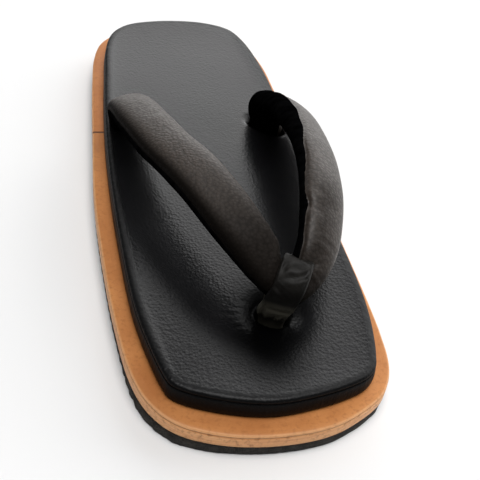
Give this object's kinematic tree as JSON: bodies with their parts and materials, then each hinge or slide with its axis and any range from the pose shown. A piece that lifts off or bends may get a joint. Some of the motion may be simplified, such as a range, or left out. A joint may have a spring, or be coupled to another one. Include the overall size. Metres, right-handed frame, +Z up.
{
  "type": "geta sandal",
  "caption": "Flat-soled thonged leather sandal for the right foot: ribbed rubber outsole, tan welt boards, black padded footbed, padded V strap and toe thong.",
  "frame": {"origin": "middle of the footprint, on the ground under the sole", "axes": "+Z up, +Y toward the heel, -Y toward the toe, +X toward the inner side of the foot"},
  "size_m": [0.1044, 0.2644, 0.0572],
  "materials": {
    "sponge_rubber": "matt cut sponge rubber, black",
    "tan_leather": "waxed and burnished tan leather board, satin",
    "black_leather": "fine-grained black leather, satin",
    "brown_leather": "soft pebbled brown-grey leather, low sheen",
    "thong_leather": "smooth black leather, semi-gloss",
    "lining_nap": "black napped lining cloth"
  },
  "bodies": {
    "root": {"outsole": "sponge_rubber", "welt_front": "tan_leather", "welt_heel": "tan_leather", "footbed": "black_leather", "strap_upper": "brown_leather", "toe_thong": "thong_leather"}
  },
  "joints": []
}
